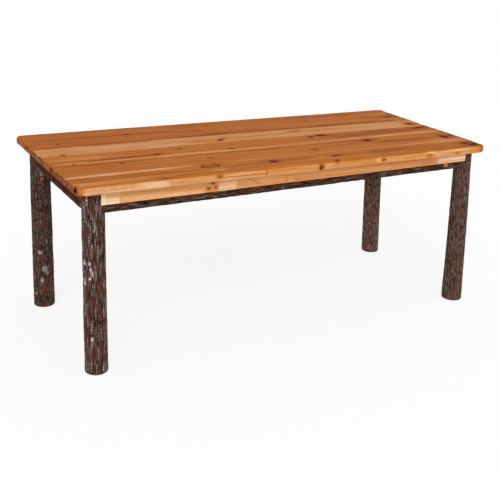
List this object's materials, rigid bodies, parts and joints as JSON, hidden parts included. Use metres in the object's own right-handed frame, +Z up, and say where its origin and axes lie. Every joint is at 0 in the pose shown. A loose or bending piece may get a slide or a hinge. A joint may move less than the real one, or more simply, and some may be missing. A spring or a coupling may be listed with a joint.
{
  "type": "rustic hickory table",
  "caption": "Rectangular farm table with a knotty board top, pale aprons over bark-on rails, and bark-on log legs let in and bolted at the corners.",
  "frame": {"origin": "on the floor, under the centre of the top", "axes": "+X along the table's length, +Y to its back, +Z up"},
  "size_m": [1.829, 0.787, 0.724],
  "materials": {
    "top_hickory": "knotty hickory boards under a satin clear finish",
    "apron_hickory": "pale hickory boards under a satin clear finish",
    "log_bark": "natural hickory bark, dark grey-brown with rust-brown fissures",
    "pole_bark": "natural hickory pole bark, dark brown",
    "frame_wood": "plain unfinished hardwood",
    "zinc_bolts": "zinc-plated steel",
    "zinc_screws": "yellow zinc-plated steel"
  },
  "bodies": {
    "root": {"apron_back": "apron_hickory", "apron_front": "apron_hickory", "apron_left": "apron_hickory", "apron_right": "apron_hickory", "bark_rail_back": "pole_bark", "bark_rail_front": "pole_bark", "bark_rail_left": "pole_bark", "bark_rail_right": "pole_bark", "block_screws": "zinc_screws", "bolt_nuts": "zinc_bolts", "bolt_washers": "zinc_bolts", "button_screws": "zinc_screws", "corner_block_back_left": "frame_wood", "corner_block_back_right": "frame_wood", "corner_block_front_left": "frame_wood", "corner_block_front_right": "frame_wood", "cross_rail_left": "frame_wood", "cross_rail_right": "frame_wood", "cross_rail_screws": "zinc_screws", "hanger_bolts": "zinc_bolts", "leg_back_left": "log_bark", "leg_back_right": "log_bark", "leg_front_left": "log_bark", "leg_front_right": "log_bark", "rail_screws": "zinc_screws", "top_board_1": "top_hickory", "top_board_2": "top_hickory", "top_board_3": "top_hickory", "top_board_4": "top_hickory", "top_board_5": "top_hickory", "top_board_6": "top_hickory", "top_buttons": "frame_wood"}
  },
  "joints": []
}
